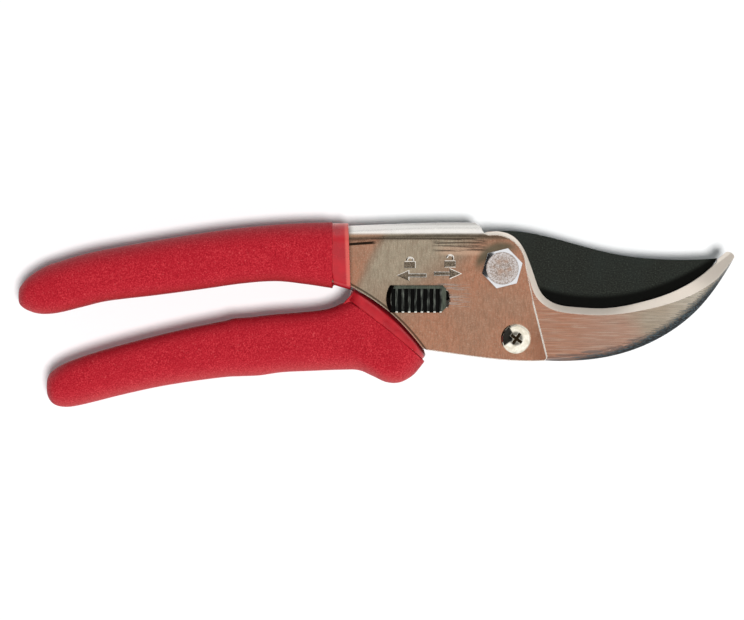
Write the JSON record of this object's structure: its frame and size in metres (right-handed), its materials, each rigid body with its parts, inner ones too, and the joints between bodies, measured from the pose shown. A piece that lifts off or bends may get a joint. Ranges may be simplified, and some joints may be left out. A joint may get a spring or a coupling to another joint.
{
  "type": "pruning shears",
  "caption": "Bypass pruning shears with folded steel handles in red vinyl grips, a coated blade, a ground hook, a hex pivot bolt and a sliding lock",
  "frame": {"origin": "centre of the pivot bolt's end face, on the pivot axis, on the side that the shears lie on", "axes": "+Z along the pivot axis to the bolt head and the lock button, +X to the jaw tips, +Y to the upper handle"},
  "size_m": [0.2032, 0.0526, 0.0229],
  "materials": {
    "plate_steel": "satin nickel-plated sheet",
    "grip_red": "pebbled soft vinyl",
    "hook_steel": "brushed and ground steel",
    "blade_black": "fine-grained dark non-stick coating",
    "bolt_steel": "bright zinc plate",
    "lock_black": "ribbed moulded plastic",
    "inner_steel": "plain rolled steel",
    "spring_steel": "oiled spring wire"
  },
  "bodies": {
    "upper": {"upper_handle": "plate_steel", "upper_grip": "grip_red", "hook": "hook_steel", "hook_screw": "bolt_steel", "hook_spacer": "inner_steel", "hook_nut": "bolt_steel", "pivot_bolt": "bolt_steel", "pivot_bushing": "inner_steel", "pivot_washer": "bolt_steel", "pivot_nut": "bolt_steel", "pivot_shim": "inner_steel"},
    "lower": {"blade": "blade_black", "lower_handle": "plate_steel", "blade_rivets": "inner_steel", "lower_grip": "grip_red", "spring_stud": "inner_steel", "return_spring": "spring_steel"},
    "lock": {"lock_button": "lock_black", "lock_catch": "inner_steel", "lock_screw": "bolt_steel", "lock_leaf": "spring_steel"}
  },
  "joints": [
    {"name": "handle_pivot", "type": "hinge", "parent": "upper", "child": "lower", "pos_m": [0, 0, 0], "axis": [0, 0, 1], "range_deg": [0, 32], "stiffness_Nm_per_rad": 0.35, "springref_deg": 51.57, "deforming": ["return_spring"]},
    {"name": "lock_slide", "type": "slide", "parent": "upper", "child": "lock", "axis": [1, 0, 0], "range_m": [0, 0.005]}
  ]
}
